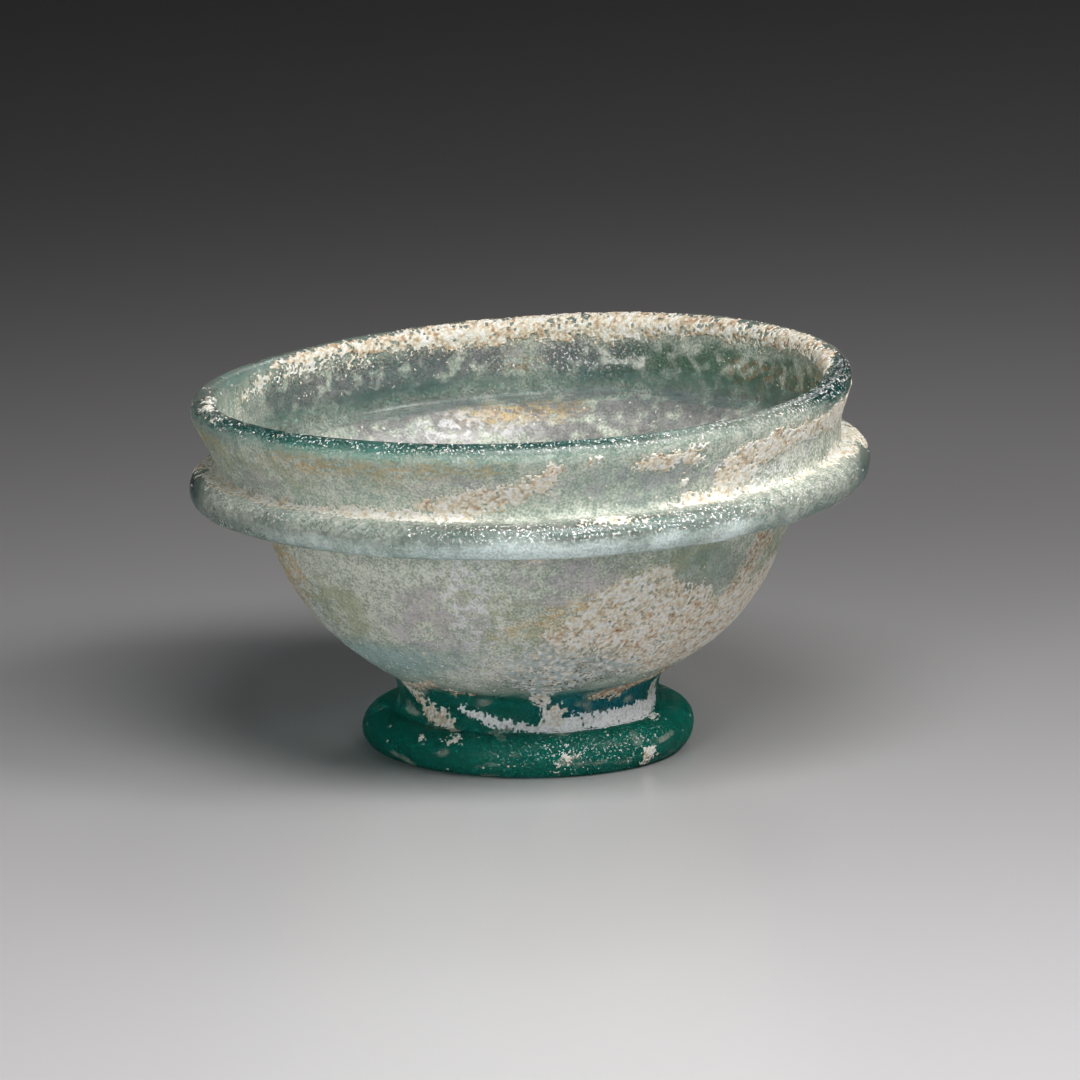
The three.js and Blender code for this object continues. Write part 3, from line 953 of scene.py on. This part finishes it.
FILM_ROUGHNESS = 0.6
FILM_IOR = 1.1
FILM_FINE = (0.32, 0.33, 0.67, 1.0)
FILM_MIDDLING = (1.4, 0.32, 0.68, 2.0)
FILM_FINE_SHARE = 0.58
FILM_THICKNESS = (0.2, 0.8, 0.7, 1.2)
FILM_HALO_SPREAD = (0.35, 0.75)
FILM_HALO_TINT = 0.55
FILM_HALO_COVER = 0.35
FILM_FROST_SPREAD = (0.8, 0.95)
FILM_RELIEF = (0.05, 0.6)
FILM_SAGE = (0.48, 0.54, 0.44)
FILM_PALE = (0.84, 0.85, 0.75)
FILM_CHALK = (0.9, 0.89, 0.9)
FILM_HALO = (0.8, 0.74, 0.6)


def film_finish():
    """The milky weathering film: sage and pale mottles, tinted in patches, some of them painted highlight,
    painted glow and painted shade, thin between its grains, beaded with white dots where it is frosted, and
    creamier and thicker beside the crust."""
    material, tree, shader = finish("weathering_film_and_painted_light", Roughness=FILM_ROUGHNESS, Metallic=0.0, IOR=FILM_IOR)
    fine = speckle(tree, *FILM_FINE)
    middling = speckle(tree, *FILM_MIDDLING)
    tone = plus(tree, times(tree, fine, FILM_FINE_SHARE), times(tree, middling, 1 - FILM_FINE_SHARE))
    colour = mix_colour(tree, tone, FILM_SAGE, FILM_PALE)
    mottles = {kind: speckle(tree, size, 0.0, 1.0, 1.0, flat) for kind, (size, flat) in FILM_MOTTLES.items()}
    for name, tint in FILM_TINTS.items():
        share = times(tree, attribute(tree, name), spread_node(tree, mottles[tint.mottles], *tint.fade))
        colour = mix_colour(tree, times(tree, share, tint.strength), colour, tint.colour)
    halo = times(tree, attribute(tree, "halo"), spread_node(tree, fine, *FILM_HALO_SPREAD))
    colour = mix_colour(tree, times(tree, halo, FILM_HALO_TINT), colour, FILM_HALO)
    frost = times(tree, attribute(tree, "frost"), spread_node(tree, fine, *FILM_FROST_SPREAD))
    colour = mix_colour(tree, frost, colour, FILM_CHALK)
    tree.links.new(colour, shader.inputs["Base Color"])
    thickness = spread_node(tree, tone, *FILM_THICKNESS)
    cover = math_node(tree, "MULTIPLY", attribute(tree, "cover"), thickness, clamp=True)
    near_crust = times(tree, halo, FILM_HALO_COVER)
    alpha = math_node(tree, "MAXIMUM", cover, math_node(tree, "MAXIMUM", frost, near_crust))
    tree.links.new(alpha, shader.inputs["Alpha"])
    bump(tree, shader, fine, *FILM_RELIEF)
    return material


# Colours of the crust's grains, from the chalky ones to the rusty ones, and of the gaps between them.
CRUST_RAMP = [
    (0.0, (0.92, 0.91, 0.87)),
    (0.36, (0.86, 0.8, 0.66)),
    (0.68, (0.68, 0.55, 0.39)),
    (1.0, (0.44, 0.25, 0.14)),
]
CRUST_GAP = (0.34, 0.34, 0.27)
CRUST_GAP_SHARE = 0.42
CRUST_GAP_SPREAD = (0.55, 0.25)
CRUST_COOL = (0.3, 0.44, 0.47)
CRUST_COOL_SHARE = 0.7
CRUST_LILAC = (0.96, 0.98, 1.0)
CRUST_LILAC_WARMTH = (0.1, 0.0)
CRUST_ROUGHNESS = 0.92
CRUST_WARMTH_SHARE = 0.68
CRUST_OWN_SHARE = 0.9
CRUST_MOTTLES = (1.6, 0.3, 0.7, 2.0)
CRUST_MOTTLE_SHARE = 0.6
CRUST_COOL_MOTTLES = (0.8, 0.36, 0.56, 2.0)
CRUST_TOOTH = (0.25, 0.3, 0.7, 1.0)
CRUST_RELIEF = (0.06, 0.8)


def crust_finish():
    """Dull mineral crust: chalk to cream, tan and rust from patch to patch and from grain to grain, darker
    between the grains and blue-grey at one end."""
    material, tree, shader = finish("mineral_crust", Roughness=CRUST_ROUGHNESS, Metallic=0.0)
    warmth, grain, own, cool = (attribute(tree, name) for name in ("warmth", "grain", "own", "cool"))
    own = times(tree, math_node(tree, "SUBTRACT", own, 0.5), CRUST_OWN_SHARE)
    mottles = math_node(tree, "SUBTRACT", speckle(tree, *CRUST_MOTTLES), 0.5)
    warm = plus(tree, times(tree, warmth, CRUST_WARMTH_SHARE), own)
    warm = plus(tree, warm, times(tree, mottles, CRUST_MOTTLE_SHARE))
    ramp = add(tree, "ShaderNodeValToRGB", Fac=warm)
    for element, (place, colour) in zip(list(ramp.color_ramp.elements), CRUST_RAMP):
        element.position = place
        element.color = (*colour, 1)
    for place, colour in CRUST_RAMP[2:]:
        ramp.color_ramp.elements.new(place).color = (*colour, 1)
    coldest = spread_node(tree, warmth, *CRUST_LILAC_WARMTH)
    colour = mix_colour(tree, coldest, ramp.outputs["Color"], CRUST_LILAC)
    cooled = times(tree, times(tree, cool, speckle(tree, *CRUST_COOL_MOTTLES)), CRUST_COOL_SHARE)
    colour = mix_colour(tree, cooled, colour, CRUST_COOL)
    gaps = times(tree, spread_node(tree, grain, *CRUST_GAP_SPREAD), CRUST_GAP_SHARE)
    colour = mix_colour(tree, gaps, colour, CRUST_GAP)
    tree.links.new(colour, shader.inputs["Base Color"])
    bump(tree, shader, speckle(tree, *CRUST_TOOTH), *CRUST_RELIEF)
    return material


# How finely the glass and its film are drawn: the step along the outline in millimetres and the steps around,
# and for the tube of air the steps round its section. The tube is a little flattened and uneven.
SKIN_STEP = 0.66
SKIN_AROUND = 390
FOLD_TUBE_SECTION = 14
FOLD_TUBE_FLATNESS = 0.85
FOLD_TUBE_UNEVENNESS = 0.25
FOLD_TUBE_NOISE = {"size": 13, "seed": 77, "octaves": 2}


def fold_tube():
    """The sealed tube of air in the flange's fold: a ring with a round section that squeezes and swells a
    little round its way, facing the air inside it."""
    section = np.linspace(0, 2 * math.pi, FOLD_TUBE_SECTION, endpoint=False)
    turn, azimuth = np.meshgrid(section, azimuths(SKIN_AROUND), indexing="ij")
    middle = BOWL_TOP_RADIUS + FLANGE_OVERHANG - FLANGE_ROLL + FOLD_TUBE_INSET
    ring = np.stack([np.sin(azimuth), -np.cos(azimuth), 0 * azimuth], axis=-1) * middle
    radius = FOLD_TUBE_RADIUS * (1 + FOLD_TUBE_UNEVENNESS * clouds(ring, **FOLD_TUBE_NOISE))
    across = middle + radius * np.cos(turn)
    height = FLANGE_HEIGHT + FOLD_TUBE_FLATNESS * radius * np.sin(turn)
    places = hand_shape(across * np.sin(azimuth), -across * np.cos(azimuth), height)
    faces = grid_faces(FOLD_TUBE_SECTION, SKIN_AROUND)
    last = (FOLD_TUBE_SECTION - 1) * SKIN_AROUND
    column = np.arange(SKIN_AROUND)
    following = (column + 1) % SKIN_AROUND
    seam = np.column_stack([last + column, last + following, following, column])
    return places.reshape(-1, 3), np.vstack([faces, seam])[:, ::-1]


def glass_piece(material):
    """The bowl's glass: its whole skin, and the skin of the tube of air inside the flange."""
    places, blocks, _ = closed_form(SKIN_STEP, SKIN_AROUND, glass_relief)
    tube, tube_faces = fold_tube()
    blocks.append(tube_faces + len(places))
    return new_piece("glass_bowl", np.vstack([places, tube]), blocks, material)


def film_height(distance, azimuth):
    """How far the film's skin stands out from the turned form, in millimetres."""
    return glass_relief(distance, azimuth) + FILM_HEIGHT


def film_piece(material):
    """The weathering film: a skin over all of the glass that carries its own cover and tints, with painted
    highlight, glow and shade among them.
    """
    places, blocks, (distance, azimuth) = closed_form(SKIN_STEP, SKIN_AROUND, film_height)
    return new_piece("weathering_film_and_painted_light", places, blocks, material, film_values(distance, azimuth))


# Crust pieces: name, first and last stretch, step along the outline in millimetres, and steps around.
CRUST_PIECES = [
    ("crust_on_foot", "foot", "stem", 0.15, 860),
    ("crust_on_bowl", "bowl", "flange_root", 0.18, 1200),
    ("crust_on_collar", "flange", "collar", 0.17, 1500),
    ("crust_on_lip", "lip", "inner_bowl", 0.17, 1500),
]

# The table is a round pale floor that curves up to a low wall far behind. Lengths are metres: the radii of
# its level rings, how far it reaches before it curves up, the curve's radius and the wall's height.
FLOOR_RINGS = [0.02, 0.2, 0.5, 1.0, 1.5]
FLOOR_REACH = 1.9
FLOOR_CURVE = 0.9
FLOOR_WALL = 0.5
FLOOR_CURVE_STEPS = 16
FLOOR_AROUND = 96
FLOOR_COLOUR = (0.425, 0.418, 0.425, 1)
FLOOR_ROUGHNESS = 0.28


def pale_floor():
    """The floor that the bowl stands on."""
    bend = np.radians(np.linspace(-90, 0, FLOOR_CURVE_STEPS))
    level = np.zeros(len(FLOOR_RINGS))
    radius = np.r_[FLOOR_RINGS, FLOOR_REACH + FLOOR_CURVE * np.cos(bend), FLOOR_REACH + FLOOR_CURVE]
    height = np.r_[level, FLOOR_CURVE + FLOOR_CURVE * np.sin(bend), FLOOR_CURVE + FLOOR_WALL]
    radius, azimuth = np.meshgrid(radius, azimuths(FLOOR_AROUND), indexing="ij")
    height = np.broadcast_to(height[:, None], radius.shape)
    places = np.stack([radius * np.sin(azimuth), -radius * np.cos(azimuth), height], axis=-1)
    faces = grid_faces(len(radius), FLOOR_AROUND)[:, ::-1]
    middle = np.arange(FLOOR_AROUND)[None, :]
    material, _, _ = finish(
        "pale_table", Base_Color=FLOOR_COLOUR, Roughness=FLOOR_ROUGHNESS, Metallic=0.0
    )
    floor = new_piece("floor", places.reshape(-1, 3) / MM, [faces, middle], material)


def place_light(light, aim, azimuth, elevation, away, power, colour=(1, 1, 1)):
    """Puts a light at an azimuth and elevation in degrees and a distance in metres from where it is aimed."""
    light.energy = power
    light.color = colour
    lamp = bpy.data.objects.new(light.name, light)
    lamp.visible_camera = False
    turn, rise = math.radians(azimuth), math.radians(elevation)
    towards = Vector((math.sin(turn) * math.cos(rise), -math.cos(turn) * math.cos(rise), math.sin(rise)))
    lamp.location = Vector(aim) + away * towards
    lamp.rotation_euler = (-towards).to_track_quat("-Z", "Y").to_euler()
    bpy.context.scene.collection.objects.link(lamp)


def soft_light(name, size, **place):
    """A round soft light of a width in metres."""
    light = bpy.data.lights.new(name, "AREA")
    light.shape = "DISK"
    light.size = size
    place_light(light, **place)


def narrow_light(name, size, cone, **place):
    """A soft light that reaches only a cone of so many degrees, so that the table stays dim."""
    light = bpy.data.lights.new(name, "SPOT")
    light.shadow_soft_size = size / 2
    light.spot_size = math.radians(cone)
    light.spot_blend = 1.0
    place_light(light, **place)


def room_light(colour, strength):
    """A faint even light from all round."""
    world = bpy.data.worlds.new("studio")
    world.use_nodes = True
    background = world.node_tree.nodes["Background"]
    background.inputs["Color"].default_value = (*colour, 1)
    background.inputs["Strength"].default_value = strength
    bpy.context.scene.world = world


# The photograph's view: the camera looks down by 12 degrees from a metre away, at a point half way up the
# bowl, which lies a little beside the middle of the square picture.
CAMERA_ELEVATION = 12.1
CAMERA_AWAY = 1.0
CAMERA_AIM = (0, 0, 0.0244)
PIXELS_PER_MM = 7.72
PHOTO_WIDTH = 1080
AIM_PIXEL = (529.6, 558.5)
SENSOR = 36.0
CLIPPING = (0.05, 20)


def photo_camera():
    """The camera that shows the bowl at the photograph's size and place in the frame."""
    camera = bpy.data.cameras.new("camera")
    camera.sensor_width = SENSOR
    camera.lens = PIXELS_PER_MM * CAMERA_AWAY / MM / PHOTO_WIDTH * SENSOR
    camera.shift_x = (PHOTO_WIDTH / 2 - AIM_PIXEL[0]) / PHOTO_WIDTH
    camera.shift_y = (AIM_PIXEL[1] - PHOTO_WIDTH / 2) / PHOTO_WIDTH
    camera.clip_start, camera.clip_end = CLIPPING
    holder = bpy.data.objects.new("camera", camera)
    rise = math.radians(CAMERA_ELEVATION)
    holder.location = Vector(CAMERA_AIM) + CAMERA_AWAY * Vector((0, -math.cos(rise), math.sin(rise)))
    holder.rotation_euler = (math.radians(90 - CAMERA_ELEVATION), 0, 0)
    bpy.context.scene.collection.objects.link(holder)
    bpy.context.scene.camera = holder


photo_camera()
pale_floor()

# A warm main light from the right, one on the table before the bowl, and three narrow ones on the bowl.
soft_light(
    "key", 0.18, aim=(0, 0, 0), azimuth=62, elevation=48, away=0.5, power=1.15, colour=(1.0, 0.98, 0.95)
)
soft_light("front", 0.25, aim=(0, -0.366, 0), azimuth=168, elevation=64, away=0.35, power=1.9)
narrow_light("fill", 0.5, 18, aim=(0, 0, 0.028), azimuth=-25, elevation=16, away=1.25, power=45.0)
narrow_light("side", 0.5, 14, aim=(0, 0, 0.026), azimuth=78, elevation=15, away=1.25, power=9.0)
narrow_light("back", 0.4, 14, aim=(0, 0, 0.028), azimuth=168, elevation=34, away=1.3, power=15.0)
room_light((0.5, 0.48, 0.5), 0.05)
bpy.context.scene.view_settings.view_transform = "Standard"

# Enough light paths for one thin-walled glass.
paths = bpy.context.scene.cycles
paths.max_bounces = 5
paths.diffuse_bounces = 2
paths.transmission_bounces = 5

glass = glass_piece(glass_finish())
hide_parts("bowl")
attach(glass, "root")

film = film_piece(film_finish())
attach(film, "root")

mineral = crust_finish()
for name, first, final, line_step, around in CRUST_PIECES:
    start, end = OUTLINE.along(first, 0), OUTLINE.along(final, 1)
    crust = crust_piece(name, start, end, line_step, around, mineral)
    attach(crust, "root")
